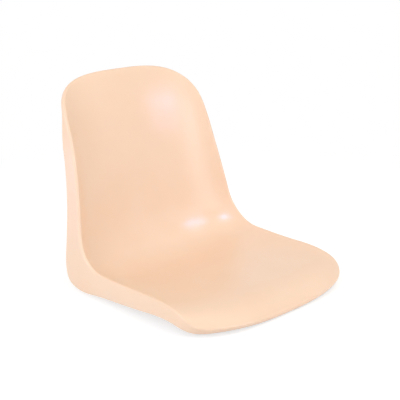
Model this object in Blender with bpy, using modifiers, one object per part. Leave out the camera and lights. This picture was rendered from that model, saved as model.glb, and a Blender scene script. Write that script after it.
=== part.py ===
"""Plastic shell chair: seat and back moulded in one sheet, with four threaded inserts.

Metres, +Z up. The sitter faces -Y, so +X is the sitter's left side. The four
bosses under the seat end in the plane z = 0, where an underframe bolts on.
"""

import math

import bmesh
import bpy
import numpy as np
from mathutils import Vector
from mathutils.bvhtree import BVHTree

OBJECT_NAME = "plastic_shell_chair"

# Centre line of the visible skin, from the front lip over the seat and up the back
LIP_RADIUS = 0.096
LIP_SWEEP = math.radians(49.5)
SEAT_RUN = 0.204
SEAT_TILT = math.radians(4.5)
HEEL_RADIUS = 0.105
BACK_RUN = 0.289
BACK_RECLINE = math.radians(11.5)
BACK_BOW_RADIUS = 0.500
CURL_RADIUS = 0.060
CURL_SWEEP = math.radians(12)
PROFILE_BLEND = 0.030

# Half width of the skin at six stations along the centre line
LIP_HALF_WIDTH = 0.2090
KNEE_HALF_WIDTH = 0.2075
SEAT_HALF_WIDTH = 0.2065
HEEL_HALF_WIDTH = 0.2080
BACK_HALF_WIDTH = 0.1840
TOP_HALF_WIDTH = 0.1715

# Soft hollow across the skin: how far it lifts the rim above the centre line
LIP_HOLLOW = 0.000
KNEE_HOLLOW = 0.004
SEAT_HOLLOW = 0.010
HEEL_HOLLOW = 0.016
BACK_HOLLOW = 0.0055
TOP_HOLLOW = 0.000
HOLLOW_POWER = 2

# Turned-up sides, added to the hollow close to the rim
LIP_UPTURN = -0.0435
KNEE_UPTURN = -0.002
SEAT_UPTURN = 0.008
HEEL_UPTURN = 0.018
BACK_UPTURN = 0.026
TOP_UPTURN = 0.011
UPTURN_POWER = 6

# Bowed front and top edges: how far the corners lie back from the middle, and how square they are
FRONT_BOW = 0.0825
FRONT_SQUARENESS = 2.6
TOP_BOW = 0.122
TOP_SQUARENESS = 3.2

# Wall, rolled rim and the flange that hangs from it along the mould's draw direction
WALL = 0.004
RIM_INNER_RADIUS = 0.0005
DRAW_ANGLE = math.radians(41.5)
FLANGE_SPLAY = 0.050
FLANGE_SPLAY_POWER = 3
FLANGE_AT_LIP = 0.0025
FLANGE_AT_FRONT_CORNER = 0.0245
FLANGE_AT_SEAT_FRONT = 0.0395
FLANGE_AT_SEAT_REAR = 0.0475
FLANGE_AT_HEEL = 0.0695
FLANGE_AT_LOWER_BACK = 0.0395
FLANGE_AT_UPPER_BACK = 0.024
FLANGE_AT_TOP = 0.003
FLANGE_BLEND = 0.040
FLANGE_EDGE_ROUND = 0.0008
FLANGE_EDGE_ANGLE = math.radians(60)

# Threaded insert, M6: flange, knurled body with a groove, and the drilled core of its thread
INSERT_LENGTH = 0.013
INSERT_BODY_DIAMETER = 0.0096
INSERT_GROOVE_DEPTH = 0.0006
INSERT_GROOVE_WIDTH = 0.002
INSERT_FLANGE_DIAMETER = 0.0130
INSERT_FLANGE_THICKNESS = 0.0014
INSERT_BORE_DIAMETER = 0.0050
INSERT_CHAMFER = 0.0005
INSERT_GAP = 0.0003
INSERT_RECESS = 0.0002

# Mounting bosses with crossed webs under the seat
BOSS_SPACING_X = 0.200
BOSS_SPACING_Y = 0.220
BOSS_SETBACK = 0.086
BOSS_WALL = 0.009
BOSS_FLOOR = 0.006
BOSS_DRAFT = math.radians(1.5)
BOSS_CHAMFER = 0.0008
SCREW_RUNOUT = 0.006
WEB_THICKNESS = 0.003
WEB_REACH = 0.024
WEB_CLEARANCE = 0.007
WEB_BURIED_SHARE = 0.25

# Where the stations lie: shares of the seat's run, the back's run and the top bow
SEAT_FRONT_SHARE = 0.35
SEAT_REAR_SHARE = 0.85
BACK_STRAIGHT_SHARE = 0.5
LOWER_BACK_SHARE = 0.25
BACK_SHARE = 0.4
UPPER_BACK_SHARE = 0.7
TOP_CORNER_SHARE = 0.7

# Facets
CELLS_ACROSS = 22
CELLS_ALONG = 46
ROLL_STEPS = 5
FLANGE_STEPS = 2
EDGE_STEPS = 2
ROUND_STEPS = 24
WEB_STEPS = 10
PROFILE_SAMPLES = 600
BLEND_SAMPLES = 15
SMALL_STEP = 0.0005
INNER_SHARE = 0.9
MERGE_DISTANCE = 0.00001
RAY_START = -1.0

# Sizes that follow from the ones above
RIM_RADIUS = RIM_INNER_RADIUS + WALL
INSERT_HOLE_DEPTH = INSERT_LENGTH + INSERT_RECESS + SCREW_RUNOUT
BOSS_RADIUS = INSERT_FLANGE_DIAMETER / 2 + INSERT_GAP + BOSS_WALL
BOSS_HEIGHT = INSERT_HOLE_DEPTH + BOSS_FLOOR


def clear_scene():
    for old in list(bpy.data.objects):
        bpy.data.objects.remove(old, do_unlink=True)


def new_collection(name):
    collection = bpy.data.collections.new(name)
    bpy.context.scene.collection.children.link(collection)
    return collection


def new_material(name, colour, roughness, metallic):
    material = bpy.data.materials.new(name)
    material.use_nodes = True
    shader = material.node_tree.nodes["Principled BSDF"]
    shader.inputs["Base Color"].default_value = (*colour, 1)
    shader.inputs["Roughness"].default_value = roughness
    shader.inputs["Metallic"].default_value = metallic
    material.diffuse_color = (*colour, 1)
    return material


def object_from(bm, name, collection):
    mesh = bpy.data.meshes.new(name)
    bm.to_mesh(mesh)
    bm.free()
    made = bpy.data.objects.new(name, mesh)
    collection.objects.link(made)
    return made


def as_helper(helper):
    """A shape that only joins or cuts another one."""
    helper.hide_render = True
    helper.display_type = "WIRE"
    return helper


def blended(at, stations, values, width):
    """Straight runs between the stations, rounded by averaging over a width."""
    shifts = np.linspace(-width / 2, width / 2, BLEND_SAMPLES)
    return np.mean([np.interp(at + shift, stations, values) for shift in shifts], axis=0)


def smooth_curve(stations, values):
    """Natural cubic spline through the values at the stations, as a function."""
    gaps = np.diff(stations)
    slopes = np.diff(values) / gaps
    count = len(stations)
    matrix = np.eye(count)
    right = np.zeros(count)
    for i in range(1, count - 1):
        matrix[i, i - 1 : i + 2] = gaps[i - 1], 2 * (gaps[i - 1] + gaps[i]), gaps[i]
        right[i] = 6 * (slopes[i] - slopes[i - 1])
    bend = np.linalg.solve(matrix, right)

    def curve(at):
        i = int(np.clip(np.searchsorted(stations, at) - 1, 0, count - 2))
        before = at - stations[i]
        after = stations[i + 1] - at
        cubic = (bend[i] * after**3 + bend[i + 1] * before**3) / (6 * gaps[i])
        left = (values[i] / gaps[i] - bend[i] * gaps[i] / 6) * after
        return cubic + left + (values[i + 1] / gaps[i] - bend[i + 1] * gaps[i] / 6) * before

    return curve


class Skin:
    """The visible surface. across runs from -1 to 1 and along is the length from the lip."""

    def __init__(self):
        upright = math.pi / 2 - BACK_RECLINE
        straight_back = BACK_STRAIGHT_SHARE * BACK_RUN
        bowed_back = BACK_RUN - straight_back
        leaning = upright - bowed_back / BACK_BOW_RADIUS
        runs = (
            (LIP_RADIUS * LIP_SWEEP, -SEAT_TILT),
            (SEAT_RUN, -SEAT_TILT),
            (HEEL_RADIUS * (upright + SEAT_TILT), upright),
            (straight_back, upright),
            (bowed_back, leaning),
            (CURL_RADIUS * CURL_SWEEP, leaning - CURL_SWEEP),
        )
        ends = np.concatenate([[0], np.cumsum([length for length, _ in runs])])
        headings = [LIP_SWEEP - SEAT_TILT] + [heading for _, heading in runs]
        self.knee, self.heel_start, self.heel_end, _, _, self.top = ends[1:]
        self.heel = (self.heel_start + self.heel_end) / 2
        self.trace(ends, headings)

        sections = np.array(
            (
                (0, LIP_HALF_WIDTH, LIP_HOLLOW, LIP_UPTURN),
                (self.knee, KNEE_HALF_WIDTH, KNEE_HOLLOW, KNEE_UPTURN),
                ((self.knee + self.heel_start) / 2, SEAT_HALF_WIDTH, SEAT_HOLLOW, SEAT_UPTURN),
                (self.heel, HEEL_HALF_WIDTH, HEEL_HOLLOW, HEEL_UPTURN),
                (self.heel_end + BACK_SHARE * BACK_RUN, BACK_HALF_WIDTH, BACK_HOLLOW, BACK_UPTURN),
                (self.top, TOP_HALF_WIDTH, TOP_HOLLOW, TOP_UPTURN),
            )
        )
        stations, half_widths, hollows, upturns = sections.T
        self.half_width = smooth_curve(stations, half_widths)
        self.hollow = smooth_curve(stations, hollows)
        self.upturn = smooth_curve(stations, upturns)

    def trace(self, ends, headings):
        """Follow the heading along the centre line. Heading 0 points to the rear, a right angle up."""
        self.lengths = np.linspace(0, self.top, PROFILE_SAMPLES)
        self.headings = blended(self.lengths, ends, headings, PROFILE_BLEND)
        middle = (self.headings[1:] + self.headings[:-1]) / 2
        step = np.diff(self.lengths)
        self.ys = np.concatenate([[0], np.cumsum(np.cos(middle) * step)])
        self.zs = np.concatenate([[0], np.cumsum(np.sin(middle) * step)])

    def limits(self, across):
        """Where the bowed front and top edges lie on the line at this place across."""
        far = min(abs(across), 1)
        front = 1 - (1 - far**FRONT_SQUARENESS) ** (1 / FRONT_SQUARENESS)
        top = 1 - (1 - far**TOP_SQUARENESS) ** (1 / TOP_SQUARENESS)
        return FRONT_BOW * front, self.top - TOP_BOW * top

    def point(self, across, along):
        heading = np.interp(along, self.lengths, self.headings)
        far = abs(across)
        rise = self.hollow(along) * far**HOLLOW_POWER + self.upturn(along) * far**UPTURN_POWER
        return Vector(
            (
                across * self.half_width(along),
                np.interp(along, self.lengths, self.ys) - math.sin(heading) * rise,
                np.interp(along, self.lengths, self.zs) + math.cos(heading) * rise,
            )
        )

    def normal(self, across, along):
        sideways = self.point(across + SMALL_STEP, along) - self.point(across - SMALL_STEP, along)
        forwards = self.point(across, along + SMALL_STEP) - self.point(across, along - SMALL_STEP)
        return sideways.cross(forwards).normalized()

    def flange_depth(self, along):
        stations = (
            (0, FLANGE_AT_LIP),
            (FRONT_BOW, FLANGE_AT_FRONT_CORNER),
            (self.knee + SEAT_FRONT_SHARE * SEAT_RUN, FLANGE_AT_SEAT_FRONT),
            (self.knee + SEAT_REAR_SHARE * SEAT_RUN, FLANGE_AT_SEAT_REAR),
            (self.heel, FLANGE_AT_HEEL),
            (self.heel_end + LOWER_BACK_SHARE * BACK_RUN, FLANGE_AT_LOWER_BACK),
            (self.heel_end + UPPER_BACK_SHARE * BACK_RUN, FLANGE_AT_UPPER_BACK),
            (self.top - TOP_CORNER_SHARE * TOP_BOW, FLANGE_AT_TOP),
            (self.top, FLANGE_AT_TOP),
        )
        places, depths = zip(*stations)
        return float(blended(along, places, depths, FLANGE_BLEND))


class RimPoint:
    """How the rim rolls over at one point: from the skin's outward direction into the draw direction."""

    def __init__(self, vert, across, along, skin):
        self.start = vert.co.copy()
        before, after = [e.other_vert(vert).co for e in vert.link_edges if e.is_boundary]
        rim_line = (after - before).normalized()
        self.outward = rim_line.cross(skin.normal(across, along)).normalized()
        inner_along = skin.heel + (along - skin.heel) * INNER_SHARE
        inner = skin.point(across * INNER_SHARE, inner_along)
        if self.outward.dot(self.start - inner) < 0:
            self.outward.negate()
        splay = math.copysign(FLANGE_SPLAY * abs(across) ** FLANGE_SPLAY_POWER, across)
        self.draw = Vector((splay, math.sin(DRAW_ANGLE), -math.cos(DRAW_ANGLE))).normalized()
        square = (self.draw - rim_line * self.draw.dot(rim_line)).normalized()
        self.turn = self.outward.angle(square)
        self.inward = (square - self.outward * self.outward.dot(square)).normalized()
        self.depth = skin.flange_depth(along)

    def rolled(self, share):
        angle = self.turn * share
        sideways = self.outward * math.sin(angle)
        return self.start + (sideways + self.inward * (1 - math.cos(angle))) * RIM_RADIUS

    def hung(self, share):
        return self.rolled(1) + self.draw * (self.depth * share)


def extrude_rim(bm, edges, points, serial, place):
    """One more ring of faces outside the edges, with each new vertex where place says."""
    made = bmesh.ops.extrude_edge_only(bm, edges=edges)["geom"]
    for vert in made:
        if isinstance(vert, bmesh.types.BMVert):
            vert.co = place(points[vert[serial]])
    return [e for e in made if isinstance(e, bmesh.types.BMEdge) and e.is_boundary]


def shell_sheet(skin):
    """The skin, its rolled rim and its flange as one open sheet."""
    bm = bmesh.new()
    bmesh.ops.create_grid(bm, x_segments=CELLS_ACROSS, y_segments=CELLS_ALONG, size=1)
    serial = bm.verts.layers.int.new("rim_point")
    places = []
    for number, vert in enumerate(bm.verts):
        across = math.sin(vert.co.x * math.pi / 2)
        low, high = skin.limits(across)
        along = low + (high - low) * (vert.co.y + 1) / 2
        places.append((across, along))
        vert[serial] = number
        vert.co = skin.point(across, along)
    edges = [edge for edge in bm.edges if edge.is_boundary]
    rim = {vert[serial]: vert for edge in edges for vert in edge.verts}
    points = {number: RimPoint(vert, *places[number], skin) for number, vert in rim.items()}
    for step in range(ROLL_STEPS):
        share = (step + 1) / ROLL_STEPS
        edges = extrude_rim(bm, edges, points, serial, lambda point: point.rolled(share))
    for step in range(FLANGE_STEPS):
        share = (step + 1) / FLANGE_STEPS
        edges = extrude_rim(bm, edges, points, serial, lambda point: point.hung(share))
    return bm


def height_over(tree, x, y):
    """Height of the skin above a point of the floor plan, met from below."""
    hit, *_ = tree.ray_cast(Vector((x, y, RAY_START)), Vector((0, 0, 1)))
    return hit.z


def seat_in_frame(bm):
    """Centre the sheet front to back and put the bosses' end plane at z = 0. Returns the boss places."""
    front = min(vert.co.y for vert in bm.verts)
    rear = max(vert.co.y for vert in bm.verts)
    boss_front = front + BOSS_SETBACK
    boss_rear = boss_front + BOSS_SPACING_Y
    pan = height_over(BVHTree.FromBMesh(bm), BOSS_SPACING_X / 2, boss_rear) - WALL
    shift = Vector((0, -(front + rear) / 2, BOSS_HEIGHT - pan))
    bmesh.ops.translate(bm, vec=shift, verts=bm.verts)
    rows = (("front", boss_front + shift.y), ("rear", boss_rear + shift.y))
    sides = (("left", BOSS_SPACING_X / 2), ("right", -BOSS_SPACING_X / 2))
    return {f"{row}_{side}": Vector((x, y, 0)) for row, y in rows for side, x in sides}


def boss(name, spot, tree, collection):
    """A drafted post from the mounting plane up into the middle of the seat's wall."""
    bm = bmesh.new()
    top_radius = BOSS_RADIUS + BOSS_HEIGHT * math.tan(BOSS_DRAFT)
    bmesh.ops.create_cone(
        bm,
        cap_ends=True,
        segments=ROUND_STEPS,
        radius1=BOSS_RADIUS,
        radius2=top_radius,
        depth=BOSS_HEIGHT,
    )
    bmesh.ops.translate(bm, vec=spot + Vector((0, 0, BOSS_HEIGHT / 2)), verts=bm.verts)
    foot = [e for e in bm.edges if all(vert.co.z < BOSS_HEIGHT / 2 for vert in e.verts)]
    bmesh.ops.bevel(bm, geom=foot, offset=BOSS_CHAMFER, segments=1, affect="EDGES")
    cap = max(bm.faces, key=lambda face: face.calc_center_median().z)
    bmesh.ops.poke(bm, faces=[cap])
    for vert in bm.verts:
        if vert.co.z > BOSS_HEIGHT / 2:
            vert.co.z = height_over(tree, vert.co.x, vert.co.y) - WALL / 2
    return as_helper(object_from(bm, name, collection))


def web(name, spot, direction, tree, collection):
    """A plate through a boss that slopes up to the seat on both sides."""
    bm = bmesh.new()
    bmesh.ops.create_grid(bm, x_segments=WEB_STEPS, y_segments=1, size=1)
    for vert in bm.verts:
        distance = vert.co.x * (BOSS_RADIUS + WEB_REACH)
        place = spot + direction * distance
        skin_height = height_over(tree, place.x, place.y)
        slope = max(0, (abs(distance) - BOSS_RADIUS) / WEB_REACH)
        end = skin_height - (1 - WEB_BURIED_SHARE) * WALL
        foot = WEB_CLEARANCE + (end - WEB_CLEARANCE) * slope
        place.z = skin_height - WALL / 2 if vert.co.y > 0 else foot
        vert.co = place
    plate = as_helper(object_from(bm, name, collection))
    thicken = plate.modifiers.new("web_thickness", "SOLIDIFY")
    thicken.thickness = WEB_THICKNESS
    thicken.offset = 0
    return plate


def turned(name, profile, closed, collection):
    """A shape turned about Z from (radius, height) points that run down its outer side."""
    bm = bmesh.new()
    verts = [bm.verts.new((radius, 0, height)) for radius, height in profile]
    for first, second in zip(verts, verts[1:]):
        bm.edges.new((first, second))
    if closed:
        bm.edges.new((verts[-1], verts[0]))
    made = object_from(bm, name, collection)
    screw = made.modifiers.new("turning", "SCREW")
    screw.axis = "Z"
    screw.steps = ROUND_STEPS
    screw.render_steps = ROUND_STEPS
    screw.use_merge_vertices = True
    screw.merge_threshold = MERGE_DISTANCE
    screw.use_smooth_shade = True
    return made


def insert_hole(name, spot, collection):
    """The stepped blind hole in a boss that an insert is pressed into."""
    body = INSERT_BODY_DIAMETER / 2 + INSERT_GAP
    flange = INSERT_FLANGE_DIAMETER / 2 + INSERT_GAP
    step = INSERT_RECESS + INSERT_FLANGE_THICKNESS + INSERT_GAP
    profile = (
        (0, INSERT_HOLE_DEPTH),
        (body, INSERT_HOLE_DEPTH),
        (body, step),
        (flange, step),
        (flange, -INSERT_GAP),
        (0, -INSERT_GAP),
    )
    hole = as_helper(turned(name, profile, False, collection))
    hole.location = spot
    return hole


def insert_profile():
    """Section of an insert, round the loop: down the outside, across the face and up the bore."""
    body = INSERT_BODY_DIAMETER / 2
    groove = body - INSERT_GROOVE_DEPTH
    flange = INSERT_FLANGE_DIAMETER / 2
    bore = INSERT_BORE_DIAMETER / 2
    top = INSERT_LENGTH
    middle = (INSERT_LENGTH + INSERT_FLANGE_THICKNESS) / 2
    return (
        (body - INSERT_CHAMFER, top),
        (body, top - INSERT_CHAMFER),
        (body, middle + INSERT_GROOVE_WIDTH / 2),
        (groove, middle + INSERT_GROOVE_WIDTH / 2),
        (groove, middle - INSERT_GROOVE_WIDTH / 2),
        (body, middle - INSERT_GROOVE_WIDTH / 2),
        (body, INSERT_FLANGE_THICKNESS),
        (flange, INSERT_FLANGE_THICKNESS),
        (flange, 0),
        (bore + INSERT_CHAMFER, 0),
        (bore, INSERT_CHAMFER),
        (bore, top),
    )


def add_boolean(target, name, operation, operands):
    modifier = target.modifiers.new(name, "BOOLEAN")
    modifier.operation = operation
    modifier.operand_type = "COLLECTION"
    modifier.collection = operands
    modifier.solver = "EXACT"


def build():
    clear_scene()
    parts = new_collection(OBJECT_NAME)
    bosses = new_collection("boss_helpers")
    holes = new_collection("hole_cutters")
    polypropylene = new_material(
        "moulded_polypropylene", colour=(0.95, 0.68, 0.49), roughness=0.42, metallic=0
    )
    brass = new_material("turned_brass", colour=(0.74, 0.55, 0.25), roughness=0.35, metallic=1)

    sheet = shell_sheet(Skin())
    spots = seat_in_frame(sheet)
    tree = BVHTree.FromBMesh(sheet)
    for corner, spot in spots.items():
        boss(f"boss_{corner}", spot, tree, bosses)
        web(f"web_across_{corner}", spot, Vector((1, 0, 0)), tree, bosses)
        web(f"web_along_{corner}", spot, Vector((0, 1, 0)), tree, bosses)
        insert_hole(f"hole_{corner}", spot, holes)

    shell = object_from(sheet, "seat_shell", parts)
    shell.data.materials.append(polypropylene)
    shell.data.shade_smooth()
    thicken = shell.modifiers.new("wall", "SOLIDIFY")
    thicken.thickness = WALL
    thicken.offset = -1
    thicken.use_even_offset = True
    rounding = shell.modifiers.new("flange_edge", "BEVEL")
    rounding.width = FLANGE_EDGE_ROUND
    rounding.segments = EDGE_STEPS
    rounding.limit_method = "ANGLE"
    rounding.angle_limit = FLANGE_EDGE_ANGLE
    add_boolean(shell, "bosses", "UNION", bosses)
    add_boolean(shell, "insert_holes", "DIFFERENCE", holes)

    for corner, spot in spots.items():
        insert = turned(f"insert_{corner}", insert_profile(), True, parts)
        insert.location = spot + Vector((0, 0, INSERT_RECESS))
        insert.data.materials.append(brass)


build()
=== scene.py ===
# %% [markdown]
# # A plastic shell chair
#
# The real chair is one injection-moulded sheet of polypropylene. Seat and back
# are a single sweep, the rim rolls over into a skirt, and bosses with brass
# threaded inserts sit under the seat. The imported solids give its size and
# place. This lesson models the same surface finely around them, gives it its
# finish and lights it like a catalogue picture.
#
# Lengths are metres, +Z is up, and the sitter faces -Y.

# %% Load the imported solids
import math

import bmesh
import bpy
import numpy as np
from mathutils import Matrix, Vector
from mathutils.bvhtree import BVHTree


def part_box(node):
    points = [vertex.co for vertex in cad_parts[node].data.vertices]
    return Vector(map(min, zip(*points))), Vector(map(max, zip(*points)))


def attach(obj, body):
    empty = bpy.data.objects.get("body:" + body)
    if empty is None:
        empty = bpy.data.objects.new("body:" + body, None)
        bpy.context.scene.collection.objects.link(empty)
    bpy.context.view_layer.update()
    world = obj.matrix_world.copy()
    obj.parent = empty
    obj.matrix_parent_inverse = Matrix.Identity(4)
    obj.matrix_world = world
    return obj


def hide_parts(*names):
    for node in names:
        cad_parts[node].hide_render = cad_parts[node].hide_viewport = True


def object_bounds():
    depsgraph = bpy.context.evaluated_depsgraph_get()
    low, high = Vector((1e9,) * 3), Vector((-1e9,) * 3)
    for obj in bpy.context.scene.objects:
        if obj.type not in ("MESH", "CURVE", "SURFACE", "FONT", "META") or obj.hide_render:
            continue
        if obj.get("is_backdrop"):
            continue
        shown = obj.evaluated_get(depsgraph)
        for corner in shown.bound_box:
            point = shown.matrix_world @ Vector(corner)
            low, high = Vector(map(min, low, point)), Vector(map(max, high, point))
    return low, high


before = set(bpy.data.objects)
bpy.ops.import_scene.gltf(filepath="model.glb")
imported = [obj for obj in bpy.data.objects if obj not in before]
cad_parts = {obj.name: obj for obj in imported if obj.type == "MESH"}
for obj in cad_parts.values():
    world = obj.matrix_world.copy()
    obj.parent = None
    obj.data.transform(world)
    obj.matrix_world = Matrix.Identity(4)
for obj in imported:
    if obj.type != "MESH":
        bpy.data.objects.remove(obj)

cad_low, cad_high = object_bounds()
shell_low, shell_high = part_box("seat_shell")
print("solids:", sorted(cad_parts))
print("box in mm:", [round((b - a) * 1000) for a, b in zip(cad_low, cad_high)])

# %% [markdown]
# ## The centre line
#
# Saw the shell in half and the cut edge is a plain line: an arc over the front
# lip, a straight seat, an arc at the heel, a back that is straight below and
# bows away above, and a small curl at the top. A curve object could draw it,
# but the solids were made by walking along a list of runs, each with a length
# and a heading. Walking the same runs here keeps the two surfaces equal. The
# headings are averaged over a short width, so the runs flow into each other as
# polished mould steel does.

# %% The centre line
LIP_RADIUS = 0.096
LIP_SWEEP = math.radians(49.5)
SEAT_RUN = 0.204
SEAT_TILT = math.radians(4.5)
HEEL_RADIUS = 0.105
BACK_RUN = 0.289
BACK_RECLINE = math.radians(11.5)
BACK_STRAIGHT_SHARE = 0.5
BACK_BOW_RADIUS = 0.500
CURL_RADIUS = 0.060
CURL_SWEEP = math.radians(12)
PROFILE_BLEND = 0.030
PROFILE_SAMPLES = 600
BLEND_SAMPLES = 15


def blended(at, stations, values, width):
    """Straight runs between the stations, rounded by averaging over a width."""
    shifts = np.linspace(-width / 2, width / 2, BLEND_SAMPLES)
    return np.mean([np.interp(at + shift, stations, values) for shift in shifts], axis=0)


upright = math.pi / 2 - BACK_RECLINE
straight_back = BACK_STRAIGHT_SHARE * BACK_RUN
bowed_back = BACK_RUN - straight_back
leaning = upright - bowed_back / BACK_BOW_RADIUS
runs = (
    (LIP_RADIUS * LIP_SWEEP, -SEAT_TILT),
    (SEAT_RUN, -SEAT_TILT),
    (HEEL_RADIUS * (upright + SEAT_TILT), upright),
    (straight_back, upright),
    (bowed_back, leaning),
    (CURL_RADIUS * CURL_SWEEP, leaning - CURL_SWEEP),
)
run_ends = np.concatenate([[0], np.cumsum([length for length, _ in runs])])
run_headings = [LIP_SWEEP - SEAT_TILT] + [heading for _, heading in runs]
knee, heel_start, heel_end, _, _, top = run_ends[1:]
heel = (heel_start + heel_end) / 2

line_length = np.linspace(0, top, PROFILE_SAMPLES)
line_heading = blended(line_length, run_ends, run_headings, PROFILE_BLEND)
step = np.diff(line_length)
mean_heading = (line_heading[1:] + line_heading[:-1]) / 2
line_y = np.concatenate([[0], np.cumsum(np.cos(mean_heading) * step)])
line_z = np.concatenate([[0], np.cumsum(np.sin(mean_heading) * step)])
print(f"centre line: {top * 1000:.0f} mm from the lip to the top")

# %% [markdown]
# ## The skin
#
# Across the centre line the sheet is hollow: a soft dish in the middle, and
# sides that turn up more sharply close to the rim. Both are powers of the
# place across, which runs from -1 to 1. Their sizes change along the line, so
# each is a smooth curve through six sections. At the lip the turned-up side is
# negative: there the corners of the seat bend down for the knees.

# %% The skin
MID_BACK_SHARE = 0.4
HOLLOW_POWER = 2
UPTURN_POWER = 6
SMALL_STEP = 0.0005

SECTIONS = (
    # place along the line, half width, soft hollow, turned-up side
    (0, 0.2090, 0.000, -0.0435),
    (knee, 0.2075, 0.004, -0.002),
    ((knee + heel_start) / 2, 0.2065, 0.010, 0.008),
    (heel, 0.2080, 0.016, 0.018),
    (heel_end + MID_BACK_SHARE * BACK_RUN, 0.1840, 0.0055, 0.026),
    (top, 0.1715, 0.000, 0.011),
)


def smooth_curve(stations, values):
    """Natural cubic spline through the values at the stations, as a function."""
    gaps = np.diff(stations)
    slopes = np.diff(values) / gaps
    count = len(stations)
    matrix = np.eye(count)
    right = np.zeros(count)
    for i in range(1, count - 1):
        matrix[i, i - 1 : i + 2] = gaps[i - 1], 2 * (gaps[i - 1] + gaps[i]), gaps[i]
        right[i] = 6 * (slopes[i] - slopes[i - 1])
    bend = np.linalg.solve(matrix, right)

    def curve(at):
        i = int(np.clip(np.searchsorted(stations, at) - 1, 0, count - 2))
        before = at - stations[i]
        after = stations[i + 1] - at
        cubic = (bend[i] * after**3 + bend[i + 1] * before**3) / (6 * gaps[i])
        left = (values[i] / gaps[i] - bend[i] * gaps[i] / 6) * after
        return cubic + left + (values[i + 1] / gaps[i] - bend[i + 1] * gaps[i] / 6) * before

    return curve


stations, half_widths, hollows, upturns = np.array(SECTIONS).T
half_width_at = smooth_curve(stations, half_widths)
hollow_at = smooth_curve(stations, hollows)
upturn_at = smooth_curve(stations, upturns)


def skin_point(across, along):
    """A point of the visible surface."""
    heading = np.interp(along, line_length, line_heading)
    far = abs(across)
    rise = hollow_at(along) * far**HOLLOW_POWER + upturn_at(along) * far**UPTURN_POWER
    return Vector(
        (
            across * half_width_at(along),
            np.interp(along, line_length, line_y) - math.sin(heading) * rise,
            np.interp(along, line_length, line_z) + math.cos(heading) * rise,
        )
    )


def skin_normal(across, along):
    """The direction that faces the sitter there."""
    sideways = skin_point(across + SMALL_STEP, along) - skin_point(across - SMALL_STEP, along)
    forwards = skin_point(across, along + SMALL_STEP) - skin_point(across, along - SMALL_STEP)
    return sideways.cross(forwards).normalized()


rim_rise = (skin_point(1, heel) - skin_point(0, heel)).length
print(f"the rim at the heel is {rim_rise * 1000:.0f} mm from the middle of the heel")

# %% [markdown]
# ## The sheet
#
# The front and top edges are bowed, like a flattened circle: a superellipse,
# whose squareness says how tight its corners are. A grid is made once and each
# of its vertices is put on the skin. Across, the rows crowd towards the rim,
# where the surface bends most. A vertex layer keeps the number of each vertex,
# because the rim needs to know later where on the skin it started.

# %% The sheet
FRONT_BOW = 0.0825
FRONT_SQUARENESS = 2.6
TOP_BOW = 0.122
TOP_SQUARENESS = 3.2
CELLS_ACROSS = 72
CELLS_ALONG = 150


def bow(far, squareness):
    """How much of the full bow there is: 0 in the middle, 1 at the sides."""
    return 1 - (1 - far**squareness) ** (1 / squareness)


sheet = bmesh.new()
bmesh.ops.create_grid(sheet, x_segments=CELLS_ACROSS, y_segments=CELLS_ALONG, size=1)
serial = sheet.verts.layers.int.new("rim_point")
places = []
for number, vert in enumerate(sheet.verts):
    across = math.sin(vert.co.x * math.pi / 2)
    far = min(abs(across), 1)
    front = FRONT_BOW * bow(far, FRONT_SQUARENESS)
    rear = top - TOP_BOW * bow(far, TOP_SQUARENESS)
    along = front + (rear - front) * (vert.co.y + 1) / 2
    places.append((across, along))
    vert[serial] = number
    vert.co = skin_point(across, along)
print("sheet:", len(sheet.faces), "faces")

# %% [markdown]
# ## The rolled rim and the skirt
#
# A bare edge would cut the sitter's legs, so the rim rolls over. The mould
# opens in one direction, and everything past the roll has to slide out along
# it: that is why the skirt hangs parallel all the way round, deep at the heel
# and almost nothing at the lip and the top. Each rim point turns from the
# skin's own outward direction into that draw direction, in the plane square to
# the rim, and the boundary edges are extruded ring by ring to follow it.

# %% How the rim rolls over
WALL = 0.004
RIM_INNER_RADIUS = 0.0005
RIM_RADIUS = RIM_INNER_RADIUS + WALL
DRAW_ANGLE = math.radians(41.5)
SKIRT_SPLAY = 0.050
SKIRT_SPLAY_POWER = 3
SKIRT_BLEND = 0.040
INNER_SHARE = 0.9
THIGH_SHARE = 0.35
HIP_SHARE = 0.85
LOW_BACK_SHARE = 0.25
HIGH_BACK_SHARE = 0.7
CORNER_SHARE = 0.7

SKIRT = (
    # place along the line, depth of the skirt
    (0, 0.0025),
    (FRONT_BOW, 0.0245),
    (knee + THIGH_SHARE * SEAT_RUN, 0.0395),
    (knee + HIP_SHARE * SEAT_RUN, 0.0475),
    (heel, 0.0695),
    (heel_end + LOW_BACK_SHARE * BACK_RUN, 0.0395),
    (heel_end + HIGH_BACK_SHARE * BACK_RUN, 0.024),
    (top - CORNER_SHARE * TOP_BOW, 0.003),
    (top, 0.003),
)


class RimPoint:
    """One point of the rim, with the arc that it rolls through and its skirt."""

    def __init__(self, vert, across, along):
        self.start = vert.co.copy()
        before, after = [edge.other_vert(vert).co for edge in vert.link_edges if edge.is_boundary]
        rim_line = (after - before).normalized()
        self.outward = rim_line.cross(skin_normal(across, along)).normalized()
        inner = skin_point(across * INNER_SHARE, heel + (along - heel) * INNER_SHARE)
        if self.outward.dot(self.start - inner) < 0:
            self.outward.negate()
        splay = math.copysign(SKIRT_SPLAY * abs(across) ** SKIRT_SPLAY_POWER, across)
        self.draw = Vector((splay, math.sin(DRAW_ANGLE), -math.cos(DRAW_ANGLE))).normalized()
        square = (self.draw - rim_line * self.draw.dot(rim_line)).normalized()
        self.turn = self.outward.angle(square)
        self.inward = (square - self.outward * self.outward.dot(square)).normalized()
        self.depth = float(blended(along, *zip(*SKIRT), SKIRT_BLEND))

    def rolled(self, share):
        """The place after a share of the roll."""
        angle = self.turn * share
        sideways = self.outward * math.sin(angle)
        return self.start + (sideways + self.inward * (1 - math.cos(angle))) * RIM_RADIUS

    def hung(self, share):
        """The place after the whole roll and a share of the skirt."""
        return self.rolled(1) + self.draw * (self.depth * share)


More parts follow.
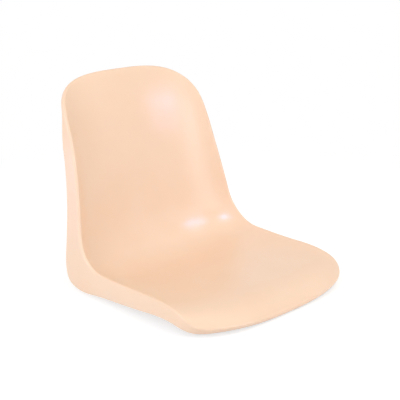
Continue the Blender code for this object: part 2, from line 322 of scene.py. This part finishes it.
rim_edges = [edge for edge in sheet.edges if edge.is_boundary]
rim_verts = {vert[serial]: vert for edge in rim_edges for vert in edge.verts}
rim = {number: RimPoint(vert, *places[number]) for number, vert in rim_verts.items()}
print("rim:", len(rim), "points")

# %% [markdown]
# ## Ring by ring
#
# Extruding an edge copies its vertices, and the copies keep their layer values.
# So each new vertex still knows its rim point, and can ask it where to go. The
# newest boundary edges are handed on to the next ring.

# %% Extrude the roll and the skirt
ROLL_STEPS = 10
SKIRT_STEPS = 4


def extrude_ring(edges, place):
    """One more ring of faces outside the edges, with each new vertex where place says."""
    made = bmesh.ops.extrude_edge_only(sheet, edges=edges)["geom"]
    for item in made:
        if isinstance(item, bmesh.types.BMVert):
            item.co = place(rim[item[serial]])
    return [item for item in made if isinstance(item, bmesh.types.BMEdge) and item.is_boundary]


for ring in range(1, ROLL_STEPS + 1):
    rim_edges = extrude_ring(rim_edges, lambda point: point.rolled(ring / ROLL_STEPS))
for ring in range(1, SKIRT_STEPS + 1):
    rim_edges = extrude_ring(rim_edges, lambda point: point.hung(ring / SKIRT_STEPS))
print("sheet with rim and skirt:", len(sheet.faces), "faces")

# %% [markdown]
# ## Into the frame
#
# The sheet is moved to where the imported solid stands. The solid's facets are
# coarser and cut its curves a hair's breadth short, so the sheet is also scaled
# to the same width and depth.

# %% Set the sheet in the frame
sheet_low = Vector([min(vert.co[i] for vert in sheet.verts) for i in range(3)])
sheet_high = Vector([max(vert.co[i] for vert in sheet.verts) for i in range(3)])
middle = (shell_low + shell_high - sheet_low - sheet_high) / 2
shift = Vector((0, middle.y, shell_high.z - sheet_high.z))
bmesh.ops.translate(sheet, vec=shift, verts=sheet.verts)
fit = [(shell_high[i] - shell_low[i]) / (sheet_high[i] - sheet_low[i]) for i in (0, 1)]
bmesh.ops.scale(sheet, vec=(*fit, 1), verts=sheet.verts)
skin_tree = BVHTree.FromBMesh(sheet)
print("moved into the frame by", [round(c * 1000, 1) for c in shift], "mm")

# %% [markdown]
# ## The wall
#
# So far the sheet has no thickness. A Solidify modifier grows it inwards by
# the moulding's wall, and a Bevel rounds the two edges at the foot of the
# skirt, which are the only sharp ones. The modifiers stay in their stack until
# the bosses are joined on.

# %% The wall
EDGE_ROUND = 0.0009
EDGE_ANGLE = math.radians(60)
EDGE_STEPS = 3


def new_object(bm, name):
    """A bmesh as an object in the scene."""
    mesh = bpy.data.meshes.new(name)
    bm.to_mesh(mesh)
    bm.free()
    made = bpy.data.objects.new(name, mesh)
    bpy.context.scene.collection.objects.link(made)
    return made


shell = new_object(sheet, "chair_shell")
thicken = shell.modifiers.new("wall", "SOLIDIFY")
thicken.thickness = WALL
thicken.offset = -1
thicken.use_even_offset = True
rounding = shell.modifiers.new("skirt_edge", "BEVEL")
rounding.width = EDGE_ROUND
rounding.segments = EDGE_STEPS
rounding.limit_method = "ANGLE"
rounding.angle_limit = EDGE_ANGLE
print("wall:", WALL * 1000, "mm")

# %% [markdown]
# ## Bosses under the seat
#
# An underframe screws to four round bosses. Each is a drafted post with a
# stepped blind hole for its insert, and a fillet where it grows out of the
# seat, because a sharp corner there would sink on the visible side and crack
# in use. The outline is a few points and one arc, spun about the hole's axis.
# The seat slopes and dishes, so the upper points follow its underside.

# %% Bosses
INSERTS = ("insert_front_left", "insert_front_right", "insert_rear_left", "insert_rear_right")
INSERT_GAP = 0.0003
INSERT_RUNOUT = 0.006
INSERT_BODY_RADIUS = 0.0048
INSERT_FLANGE = 0.0014
INSERT_RECESS = 0.0002
BOSS_WALL = 0.009
BOSS_DRAFT = math.tan(math.radians(1.5))
BOSS_CHAMFER = 0.0008
FILLET = 0.0035
FILLET_SUNK = 0.0004
FILLET_STEPS = 8
SPIN_STEPS = 64
MERGE = 0.00001
FAR_BELOW = -1


def underside(x, y):
    """Height of the seat's underside over a point of the floor."""
    hit, *_ = skin_tree.ray_cast(Vector((x, y, FAR_BELOW)), Vector((0, 0, 1)))
    return hit.z - WALL


def spun(profile, centre, closed):
    """Points of (radius, height) spun about an upright axis, with the normals facing out."""
    bm = bmesh.new()
    verts = [bm.verts.new((centre.x + radius, centre.y, height)) for radius, height in profile]
    edges = [bm.edges.new(pair) for pair in zip(verts, verts[1:])]
    if closed:
        edges.append(bm.edges.new((verts[-1], verts[0])))
    bmesh.ops.spin(
        bm,
        geom=verts + edges,
        cent=centre,
        axis=(0, 0, 1),
        angle=2 * math.pi,
        steps=SPIN_STEPS,
        use_merge=True,
    )
    bmesh.ops.remove_doubles(bm, verts=bm.verts, dist=MERGE)
    bmesh.ops.recalc_face_normals(bm, faces=bm.faces)
    return bm


spots = {}
for name in INSERTS:
    low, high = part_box(name)
    spots[name] = Vector(((low.x + high.x) / 2, (low.y + high.y) / 2, shell_low.z))
low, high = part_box(INSERTS[0])
INSERT_LENGTH = high.z - low.z
FLANGE_RADIUS = (high.x - low.x) / 2
BOSS_RADIUS = FLANGE_RADIUS + INSERT_GAP + BOSS_WALL
HOLE_DEPTH = INSERT_LENGTH + INSERT_RECESS + INSERT_RUNOUT


def boss(name, spot):
    """One post, with its upper end laid against the seat."""
    height = underside(spot.x, spot.y) - spot.z
    side = BOSS_RADIUS + (height - FILLET) * BOSS_DRAFT
    hole = INSERT_BODY_RADIUS + INSERT_GAP
    seat = FLANGE_RADIUS + INSERT_GAP
    step_depth = INSERT_RECESS + INSERT_FLANGE + INSERT_GAP
    profile = [(0, height + WALL / 2), (side + FILLET, height + WALL / 2)]
    for i in range(FILLET_STEPS + 1):
        turn = math.pi / 2 * i / FILLET_STEPS
        reach = FILLET * (1 - math.sin(turn))
        drop = FILLET * (1 - math.cos(turn))
        profile.append((side + reach, height + FILLET_SUNK - drop))
    profile += [
        (BOSS_RADIUS, BOSS_CHAMFER),
        (BOSS_RADIUS - BOSS_CHAMFER, 0),
        (seat, 0),
        (seat, step_depth),
        (hole, step_depth),
        (hole, HOLE_DEPTH),
        (0, HOLE_DEPTH),
    ]
    bm = spun([(radius, spot.z + z) for radius, z in profile], spot, closed=False)
    for vert in bm.verts:
        share = max(0, (vert.co.z - spot.z - HOLE_DEPTH) / (height - HOLE_DEPTH))
        lean = underside(vert.co.x, vert.co.y) - underside(spot.x, spot.y)
        vert.co.z += lean * min(share, 1)
    return new_object(bm, name)


posts = [boss(name.replace("insert", "boss"), spot) for name, spot in spots.items()]
for post in posts:
    print(post.name, [round(c * 1000) for c in post.dimensions], "mm")

# %% [markdown]
# ## Ribs
#
# Four ribs brace each boss. A rib starts as a cube: its long edges are cut,
# so that it can follow the seat, and every vertex is then put between the
# sloping foot and the seat's underside. It is thinner at the foot, which lets
# it leave the mould, and its two lower edges are rounded with a bevel.

# %% Ribs
RIB_REACH = 0.024
RIB_CLEARANCE = 0.007
RIB_ROOT = 0.0032
RIB_FOOT = 0.0024
RIB_ROUND = 0.0007
RIB_ROUND_STEPS = 3
RIB_CUTS = 9
RIB_BURIED = 0.001
RIB_START = BOSS_RADIUS - BOSS_WALL / 2
RIB_END = BOSS_RADIUS + RIB_REACH


def rib(name, spot, direction):
    """One rib, from inside the post's wall outwards."""
    bm = bmesh.new()
    bmesh.ops.create_cube(bm, size=1)
    long_edges = [e for e in bm.edges if abs(e.verts[0].co.x - e.verts[1].co.x) > 0.5]
    bmesh.ops.subdivide_edges(bm, edges=long_edges, cuts=RIB_CUTS, use_grid_fill=True)
    foot_edges = [
        e
        for e in bm.edges
        if max(v.co.z for v in e.verts) < 0 and abs(e.verts[0].co.x - e.verts[1].co.x) > MERGE
    ]
    sideways = Vector((-direction.y, direction.x, 0))
    for vert in bm.verts:
        along, beside, upper = vert.co
        distance = RIB_START + (RIB_END - RIB_START) * (along + 0.5)
        spine = spot + direction * distance
        ceiling = underside(spine.x, spine.y)
        slope = max(0, (distance - BOSS_RADIUS) / RIB_REACH)
        foot = RIB_CLEARANCE + (ceiling + RIB_BURIED / 2 - RIB_CLEARANCE) * slope
        thickness = RIB_ROOT if upper > 0 else RIB_FOOT
        vert.co = spine + sideways * (beside * thickness)
        vert.co.z = ceiling + RIB_BURIED if upper > 0 else foot
    bmesh.ops.bevel(
        bm,
        geom=foot_edges,
        offset=RIB_ROUND,
        segments=RIB_ROUND_STEPS,
        profile=0.5,
        affect="EDGES",
        material=-1,
    )
    bmesh.ops.recalc_face_normals(bm, faces=bm.faces)
    return new_object(bm, name)


COMPASS = {
    "left": Vector((1, 0, 0)),
    "right": Vector((-1, 0, 0)),
    "front": Vector((0, -1, 0)),
    "rear": Vector((0, 1, 0)),
}
ribs = [
    rib(f"rib_{side}_{name}", spot, direction)
    for name, spot in spots.items()
    for side, direction in COMPASS.items()
]
print("ribs:", len(ribs))

# %% [markdown]
# ## One moulding
#
# Shell, bosses and ribs come out of one mould, so a Boolean joins them into
# one closed skin. The result is then taken as a plain mesh: the modifiers have
# done their work, and the helpers can go. Smooth shading stops at edges that
# really are sharp.

# %% Join the moulding
SHARP = math.radians(38)

helpers = bpy.data.collections.new("boss_helpers")
bpy.context.scene.collection.children.link(helpers)
for helper in posts + ribs:
    bpy.context.scene.collection.objects.unlink(helper)
    helpers.objects.link(helper)
union = shell.modifiers.new("bosses", "BOOLEAN")
union.operation = "UNION"
union.operand_type = "COLLECTION"
union.collection = helpers
union.solver = "EXACT"

graph = bpy.context.evaluated_depsgraph_get()
joined = bpy.data.meshes.new_from_object(shell.evaluated_get(graph))
shell.modifiers.clear()
shell.data = joined
for helper in posts + ribs:
    bpy.data.objects.remove(helper)
bpy.data.collections.remove(helpers)
joined.shade_smooth()
joined.set_sharp_from_angle(angle=SHARP)
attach(shell, "root")
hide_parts("seat_shell")
print("moulding:", len(joined.polygons), "faces")

# %% [markdown]
# ## Threaded inserts
#
# Each boss holds a brass insert, pressed in hot: a flange that stops at the
# boss, a body with two knurled bands that grip the plastic, a groove between
# them, and an M6 thread. One outline is spun, with many points where detail is
# needed. Then two rules move them: knurl points go in and out like a
# chessboard, which makes diamonds, and bore points follow the thread's helix.

# %% Threaded inserts
GROOVE_DEPTH = 0.0006
GROOVE_WIDTH = 0.002
KNURL_DEPTH = 0.0003
KNURL_ROW = 0.0006
KNURL_MARGIN = 0.0004
BORE_RADIUS = 0.0025
THREAD_RADIUS = 0.0030
THREAD_PITCH = 0.001
THREAD_ROWS = 6
THREAD_HALF_ROOT = 0.125
THREAD_SLOPE = 0.25
CHAMFER = 0.0005
INSERT_SHARP = math.radians(50)


def band(bottom, height):
    """Heights of the knurl rows between two edges of the body, from the top down."""
    rows = max(2, round((height - 2 * KNURL_MARGIN) / KNURL_ROW))
    return np.linspace(bottom + height - KNURL_MARGIN, bottom + KNURL_MARGIN, rows + 1)


def insert_outline():
    """(radius, height, kind of point) down the outside, across the face and up the bore."""
    waist = (INSERT_LENGTH + INSERT_FLANGE) / 2
    upper = waist + GROOVE_WIDTH / 2
    lower = waist - GROOVE_WIDTH / 2
    outside = INSERT_BODY_RADIUS
    rows = int(INSERT_LENGTH / THREAD_PITCH * THREAD_ROWS)
    points = [(outside - CHAMFER, INSERT_LENGTH, "plain")]
    points += [(outside, INSERT_LENGTH - CHAMFER, "plain")]
    points += [(outside, z, "knurl") for z in band(upper, INSERT_LENGTH - CHAMFER - upper)]
    points += [(outside, upper, "plain"), (outside - GROOVE_DEPTH, upper, "plain")]
    points += [(outside - GROOVE_DEPTH, lower, "plain"), (outside, lower, "plain")]
    points += [(outside, z, "knurl") for z in band(INSERT_FLANGE, lower - INSERT_FLANGE)]
    points += [(outside, INSERT_FLANGE, "plain"), (FLANGE_RADIUS, INSERT_FLANGE, "plain")]
    points += [(FLANGE_RADIUS, 0, "plain"), (BORE_RADIUS + CHAMFER, 0, "plain")]
    points += [(BORE_RADIUS, z, "thread") for z in np.linspace(CHAMFER, INSERT_LENGTH, rows)]
    return points


def thread_depth(turn, height):
    """How deep the thread is cut there: flat crest, flat root, slopes, and a fade at both ends."""
    phase = (height / THREAD_PITCH - turn) % 1
    slope = (THREAD_HALF_ROOT + THREAD_SLOPE - abs(phase - 0.5)) / THREAD_SLOPE
    cut = min(1, max(0, slope))
    ends = min(height - CHAMFER, INSERT_LENGTH - height) / THREAD_PITCH
    return (THREAD_RADIUS - BORE_RADIUS) * cut * min(1, max(0, ends))


def insert(name, spot):
    """One insert: the spun outline, with its knurl and its thread pushed in."""
    foot = spot.z + INSERT_RECESS
    outline = insert_outline()
    bm = spun([(radius, foot + z) for radius, z, _ in outline], spot, closed=True)
    knurl_rows = [z for _, z, kind in outline if kind == "knurl"]
    thread_rows = {round(z, 6) for _, z, kind in outline if kind == "thread"}
    for vert in bm.verts:
        arm = Vector((vert.co.x - spot.x, vert.co.y - spot.y, 0))
        height = vert.co.z - foot
        turn = math.atan2(arm.y, arm.x) / (2 * math.pi)
        row = min(range(len(knurl_rows)), key=lambda i: abs(knurl_rows[i] - height))
        if arm.length > INSERT_BODY_RADIUS - MERGE and abs(knurl_rows[row] - height) < MERGE:
            column = round(turn * SPIN_STEPS)
            vert.co -= arm.normalized() * (KNURL_DEPTH * ((row + column) % 2))
        elif arm.length < BORE_RADIUS + MERGE and round(height, 6) in thread_rows:
            vert.co += arm.normalized() * thread_depth(turn, height)
    made = new_object(bm, name)
    made.data.shade_smooth()
    made.data.set_sharp_from_angle(angle=INSERT_SHARP)
    return made


inserts = []
for name, spot in spots.items():
    piece = insert(name.replace("insert", "threaded_insert"), spot)
    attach(piece, "root")
    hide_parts(name)
    inserts.append(piece)
print("inserts:", len(inserts), "with", len(inserts[0].data.polygons), "faces each")

# %% [markdown]
# ## Colours and nodes
#
# Colours are written as on a web page, in sRGB, and one function turns them
# into the linear light that the renderer counts in. One more function adds a
# shader node, sets it and wires it.

# %% Colours and nodes
WHITE = "#ffffff"
MID_GREY = "#808080"


def linear(hex_colour):
    """An sRGB hex colour as linear RGBA."""
    parts = [int(hex_colour[i : i + 2], 16) / 255 for i in (1, 3, 5)]
    light = [c / 12.92 if c <= 0.04045 else ((c + 0.055) / 1.055) ** 2.4 for c in parts]
    return (*light, 1)


def add_node(tree, kind, inputs, **settings):
    """A node with its settings. An input takes a value, or another node's output."""
    node = tree.nodes.new(kind)
    for key, value in settings.items():
        setattr(node, key, value)
    for key, value in inputs.items():
        if isinstance(value, bpy.types.NodeSocket):
            tree.links.new(value, node.inputs[key])
        else:
            node.inputs[key].default_value = value
    return node


def new_material(name):
    """An empty material with its shader, and the piece's own coordinates."""
    material = bpy.data.materials.new(name)
    material.use_nodes = True
    tree = material.node_tree
    coordinates = add_node(tree, "ShaderNodeTexCoord", {}).outputs["Object"]
    return material, tree, tree.nodes["Principled BSDF"], coordinates


print("half way to white on a web page is", round(linear(MID_GREY)[0], 2), "of its light")

# %% [markdown]
# ## Moulded polypropylene
#
# Polypropylene is waxy and a little see-through, so light goes in a few
# millimetres before it comes back: that is the subsurface part. The steel of
# the mould was spark-eroded, which leaves a very fine even grain and a satin
# sheen. Pigment never mixes perfectly, so the peach drifts a little over a
# hand's width. The grain is really about a third of a millimetre wide. It is
# drawn coarser here, or it would be lost between the pixels.

# %% Moulded polypropylene
PEACH = "#f2d0b4"
PEACH_WARM = "#f1ceb1"
PEACH_PALE = "#f3d2b7"
PIGMENT_DRIFT = 0.090
PIGMENT_DETAIL = 3.0
PIGMENT_MIDDLE = 0.5
PIGMENT_SPREAD = 0.2
GRAIN = 0.0012
GRAIN_DETAIL = 2.0
GRAIN_HEIGHT = 0.000008
SATIN_SMOOTHEST = 0.29
SATIN_ROUGHEST = 0.33
PLASTIC_IOR = 1.49
SATIN_SHINE = 0.7
INNER_GLOW = 0.12
INNER_GLOW_DEPTH = 0.003
INNER_GLOW_REACH = (1.0, 0.6, 0.4)

plastic, tree, shader, coordinates = new_material("spark_textured_polypropylene")

# Pigment: a slow drift from a warmer peach to a paler one, felt more than seen.
drift = add_node(
    tree,
    "ShaderNodeTexNoise",
    {"Vector": coordinates, "Scale": 1 / PIGMENT_DRIFT, "Detail": PIGMENT_DETAIL},
)
ramp = add_node(tree, "ShaderNodeValToRGB", {"Fac": drift.outputs["Fac"]})
ramp.color_ramp.elements[0].position = PIGMENT_MIDDLE - PIGMENT_SPREAD
ramp.color_ramp.elements[0].color = linear(PEACH_WARM)
ramp.color_ramp.elements[1].position = PIGMENT_MIDDLE + PIGMENT_SPREAD
ramp.color_ramp.elements[1].color = linear(PEACH_PALE)
ramp.color_ramp.elements.new(PIGMENT_MIDDLE).color = linear(PEACH)
tree.links.new(ramp.outputs["Color"], shader.inputs["Base Color"])

# Mould grain: it spreads each bright spot into a soft satin one.
grain = add_node(
    tree,
    "ShaderNodeTexNoise",
    {"Vector": coordinates, "Scale": 1 / GRAIN, "Detail": GRAIN_DETAIL},
)
gloss = add_node(
    tree,
    "ShaderNodeMapRange",
    {"Value": grain.outputs["Fac"], "To Min": SATIN_SMOOTHEST, "To Max": SATIN_ROUGHEST},
)
bump = add_node(
    tree,
    "ShaderNodeBump",
    {"Height": grain.outputs["Fac"], "Distance": GRAIN_HEIGHT, "Strength": 1.0},
)
tree.links.new(gloss.outputs["Result"], shader.inputs["Roughness"])
tree.links.new(bump.outputs["Normal"], shader.inputs["Normal"])
shader.inputs["IOR"].default_value = PLASTIC_IOR
shader.inputs["Specular IOR Level"].default_value = SATIN_SHINE

# Waxy depth: edges and hollows look soft and warm, not painted.
shader.inputs["Subsurface Weight"].default_value = INNER_GLOW
shader.inputs["Subsurface Radius"].default_value = INNER_GLOW_REACH
shader.inputs["Subsurface Scale"].default_value = INNER_GLOW_DEPTH
shell.data.materials.clear()
shell.data.materials.append(plastic)
print("plastic:", len(tree.nodes), "nodes")

# %% [markdown]
# ## Turned brass
#
# The inserts are turned from brass bar. A metal has no colour under its shine:
# the reflection itself is coloured. Handling and the hot press leave patches
# of tarnish about a millimetre across, a little darker and duller.

# %% Turned brass
BRASS = "#d9b45f"
BRASS_DARK = "#b08a3e"
BRASS_SMOOTH = 0.26
BRASS_DULL = 0.42
TARNISH = 0.0014
TARNISH_DETAIL = 4.0
TARNISH_ENDS = 0.35
BRASS_BEGINS = 0.6

brass, tree, shader, coordinates = new_material("turned_brass_insert")

# Tarnish: patches that are darker and less shiny, so that the metal looks handled.
patches = add_node(
    tree,
    "ShaderNodeTexNoise",
    {"Vector": coordinates, "Scale": 1 / TARNISH, "Detail": TARNISH_DETAIL},
)
ramp = add_node(tree, "ShaderNodeValToRGB", {"Fac": patches.outputs["Fac"]})
ramp.color_ramp.elements[0].position = TARNISH_ENDS
ramp.color_ramp.elements[0].color = linear(BRASS_DARK)
ramp.color_ramp.elements[1].position = BRASS_BEGINS
ramp.color_ramp.elements[1].color = linear(BRASS)
gloss = add_node(
    tree,
    "ShaderNodeMapRange",
    {"Value": patches.outputs["Fac"], "To Min": BRASS_DULL, "To Max": BRASS_SMOOTH},
)
tree.links.new(ramp.outputs["Color"], shader.inputs["Base Color"])
tree.links.new(gloss.outputs["Result"], shader.inputs["Roughness"])
shader.inputs["Metallic"].default_value = 1
for piece in inserts:
    piece.data.materials.clear()
    piece.data.materials.append(brass)
print("brass:", len(tree.nodes), "nodes")

# %% [markdown]
# ## Floor
#
# The picture is a cut-out on white. The floor is a plain white sheet that takes
# the chair's soft shadow and throws light back under its lip. The camera sees
# it with a glow, so that it reaches white without more light on the chair, and
# further out it is white altogether. From below it is clear, so that the
# underside can be looked at. Shader nodes decide this by the kind of ray that
# arrives, which is simpler than rendering the chair and its ground apart.

# %% Floor
FLOOR_SIZE = 30
FLOOR_DROP = 0.0005
FLOOR_WHITE = 0.80
FLOOR_SEEN = 0.45
FLOOR_GLOW = 0.68
SHADOW_REACH = 1.1


def add_seen(tree):
    """1 on rays that show the surroundings: straight, mirrored or let through. 0 on others."""
    path = add_node(tree, "ShaderNodeLightPath", {}).outputs
    seen = path["Is Camera Ray"]
    for kind in ("Is Glossy Ray", "Is Transmission Ray"):
        either = add_node(tree, "ShaderNodeMath", {0: seen, 1: path[kind]}, operation="MAXIMUM")
        seen = either.outputs[0]
    return seen


bm = bmesh.new()
bmesh.ops.create_grid(bm, x_segments=1, y_segments=1, size=FLOOR_SIZE / 2)
bmesh.ops.translate(bm, vec=(0, 0, cad_low.z - FLOOR_DROP), verts=bm.verts)
floor = new_object(bm, "floor")
floor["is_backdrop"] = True

paper, tree, shader, coordinates = new_material("white_paper")
seen = add_seen(tree)

# Near the chair: matt paper that keeps the shadow, with a glow for the camera.
tone = add_node(
    tree, "ShaderNodeMapRange", {"Value": seen, "To Min": FLOOR_WHITE, "To Max": FLOOR_SEEN}
)
glow = add_node(tree, "ShaderNodeMath", {0: seen, 1: FLOOR_GLOW}, operation="MULTIPLY")
tree.links.new(tone.outputs["Result"], shader.inputs["Base Color"])
tree.links.new(glow.outputs[0], shader.inputs["Emission Strength"])
shader.inputs["Emission Color"].default_value = linear(WHITE)
shader.inputs["Specular IOR Level"].default_value = 0

# Further out: plain white.
distance = add_node(tree, "ShaderNodeVectorMath", {0: coordinates}, operation="LENGTH")
far_out = add_node(
    tree,
    "ShaderNodeMapRange",
    {"Value": distance.outputs["Value"], "From Min": SHADOW_REACH / 2, "From Max": SHADOW_REACH},
)
bare = add_node(
    tree, "ShaderNodeMath", {0: far_out.outputs["Result"], 1: seen}, operation="MULTIPLY"
)
white = add_node(tree, "ShaderNodeEmission", {"Color": linear(WHITE), "Strength": 1.0})
sheet_of_paper = add_node(
    tree, "ShaderNodeMixShader", {"Fac": bare.outputs[0], 1: shader.outputs[0], 2: white.outputs[0]}
)

# From below: clear.
below = add_node(tree, "ShaderNodeNewGeometry", {}).outputs["Backfacing"]
straight = add_node(tree, "ShaderNodeLightPath", {}).outputs["Is Camera Ray"]
hidden = add_node(tree, "ShaderNodeMath", {0: below, 1: straight}, operation="MULTIPLY")
clear = add_node(tree, "ShaderNodeBsdfTransparent", {})
paper_shader = add_node(
    tree,
    "ShaderNodeMixShader",
    {"Fac": hidden.outputs[0], 1: sheet_of_paper.outputs[0], 2: clear.outputs[0]},
)
tree.links.new(paper_shader.outputs[0], tree.nodes["Material Output"].inputs["Surface"])
floor.data.materials.append(paper)
print("floor:", FLOOR_SIZE, "m wide")

# %% [markdown]
# ## World
#
# Rays that miss the floor end in the world. Where it would be seen, straight or
# mirrored, it is white. The light that it sends to the chair is weaker and a
# little warm, as in a room with pale walls.

# %% World
AMBIENT = 0.65
AMBIENT_COLOUR = "#fffdf5"

# The Mix node's colour sockets share their names with others, so they go by number.
MIX_FIRST = 6
MIX_SECOND = 7
MIX_RESULT = 2

world = bpy.data.worlds.new("studio")
bpy.context.scene.world = world
world.use_nodes = True
tree = world.node_tree
seen = add_seen(tree)
strength = add_node(
    tree, "ShaderNodeMapRange", {"Value": seen, "To Min": AMBIENT, "To Max": 1.0}
)
warm_or_white = add_node(
    tree,
    "ShaderNodeMix",
    {0: seen, MIX_FIRST: linear(AMBIENT_COLOUR), MIX_SECOND: linear(WHITE)},
    data_type="RGBA",
)
background = tree.nodes["Background"]
tree.links.new(warm_or_white.outputs[MIX_RESULT], background.inputs["Color"])
tree.links.new(strength.outputs["Result"], background.inputs["Strength"])
print("ambient light:", AMBIENT)

# %% [markdown]
# ## Soft boxes
#
# Soft boxes light the whole chair, the strongest from its right, where the
# photograph is brightest. Each lamp is placed by the direction it shines from,
# as a photographer would say it: so far round, so far up. The low box on the
# right keeps its light and loses its mirror image, which would lie as a glare
# on the seat from the other side.

# %% Soft boxes
LIGHT_DISTANCE = 2.2
DAYLIGHT = "#e2edff"
LAMPLIGHT = "#fff0dc"


def way_to(azimuth, elevation):
    """The way from the chair to a lamp or a camera. Azimuth 0 is in front, 90 on its left."""
    a = math.radians(azimuth)
    e = math.radians(elevation)
    return Vector((math.sin(a) * math.cos(e), -math.cos(a) * math.cos(e), math.sin(e)))


def hang_light(name, kind, azimuth, elevation, power, aim):
    """A lamp that looks at a point from a direction."""
    away = way_to(azimuth, elevation)
    lamp = bpy.data.lights.new(name, kind)
    lamp.energy = power
    holder = bpy.data.objects.new(name, lamp)
    holder.location = Vector(aim) + away * LIGHT_DISTANCE
    holder.rotation_euler = away.to_track_quat("Z", "Y").to_euler()
    bpy.context.scene.collection.objects.link(holder)
    return holder


def soft_box(name, azimuth, elevation, size, power, colour, mirrored=True):
    """A square of even light on the whole chair."""
    box = hang_light(name, "AREA", azimuth, elevation, power, (cad_low + cad_high) / 2)
    box.data.size = size
    box.data.color = linear(colour)[:3]
    box.visible_glossy = mirrored
    return box


boxes = (
    soft_box("right_low_box", -83, 10, size=1.6, power=17.8, colour=DAYLIGHT, mirrored=False),
    soft_box("right_high_box", -90, 38, size=1.2, power=10.9, colour=DAYLIGHT),
    soft_box("front_box", 12, 12, size=1.4, power=12.8, colour=DAYLIGHT),
    soft_box("left_box", 30, 38, size=1.6, power=3.4, colour=LAMPLIGHT),
    soft_box("high_box", 60, 62, size=1.4, power=6.0, colour=LAMPLIGHT),
)
print("soft boxes:", [box.name for box in boxes])

# %% [markdown]
# ## Beams
#
# The three bright spots of the satin sheen come from narrow beams with soft
# edges, and one more beam runs down the near rim. Each hangs where the sheet,
# like a mirror, sends it to the camera, so it is aimed at its own place on the
# chair. The beams are cool, because a bright spot on warm plastic takes the
# colour of its lamp.

# %% Beams
BEAM_LAMP_RADIUS = 0.012
BEAM_COLOUR = "#c8aeff"
UPPER_BACK = (0.099, 0.197, 0.324)
MIDDLE_BACK = (0.093, 0.185, 0.282)
BEND = (0.110, 0.122, 0.063)
FAR_CORNER = (0.180, 0.1025, 0.0645)
NEAR_RIM = (-0.197, 0.136, 0.190)


def beam(name, azimuth, elevation, width, power, aim):
    """A narrow cone of light, so many degrees wide, on one place of the chair."""
    holder = hang_light(name, "SPOT", azimuth, elevation, power, aim)
    holder.data.spot_size = math.radians(width)
    holder.data.spot_blend = 1
    holder.data.shadow_soft_size = BEAM_LAMP_RADIUS
    holder.data.color = linear(BEAM_COLOUR)[:3]
    return holder


beams = (
    beam("back_spot", 38, 21, width=3.1, power=14, aim=UPPER_BACK),
    beam("back_low_spot", 37, 11, width=2.8, power=7, aim=MIDDLE_BACK),
    beam("bend_spot", 44, 41, width=1.9, power=15, aim=BEND),
    beam("bend_high_spot", 44, 48, width=1.9, power=15, aim=BEND),
    beam("round_spot", 5, 60, width=1.0, power=44, aim=FAR_CORNER),
    beam("rim_spot", -138, 2, width=6.5, power=16, aim=NEAR_RIM),
)
print("beams:", [holder.name for holder in beams])

# %% [markdown]
# ## Camera
#
# The camera stands to the sitter's right and a little above, far enough back
# for a calm perspective. Its angles, distance and lens were found by matching
# the chair's outline to the photograph.

# %% Camera
CAMERA_AZIMUTH = -44.42
CAMERA_ELEVATION = 17.00
CAMERA_DISTANCE = 1.770
CAMERA_LENS = 82.15
AIM = Vector((-0.0105, -0.0155, 0.1697))

direction = way_to(CAMERA_AZIMUTH, CAMERA_ELEVATION)
camera = bpy.data.objects.new("camera", bpy.data.cameras.new("camera"))
camera.data.lens = CAMERA_LENS
camera.location = AIM + direction * CAMERA_DISTANCE
camera.rotation_euler = direction.to_track_quat("Z", "Y").to_euler()
bpy.context.scene.collection.objects.link(camera)
bpy.context.scene.camera = camera
bpy.context.scene.view_settings.view_transform = "Standard"
print("camera at", [round(c, 2) for c in camera.location])

# %% [markdown]
# ## Size
#
# The dressed chair must fill the same box as the solids. Both boxes are
# written down, so that they can be compared.

# %% Size
low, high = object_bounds()
print("dressed box in mm:", [round((b - a) * 1000, 1) for a, b in zip(low, high)])
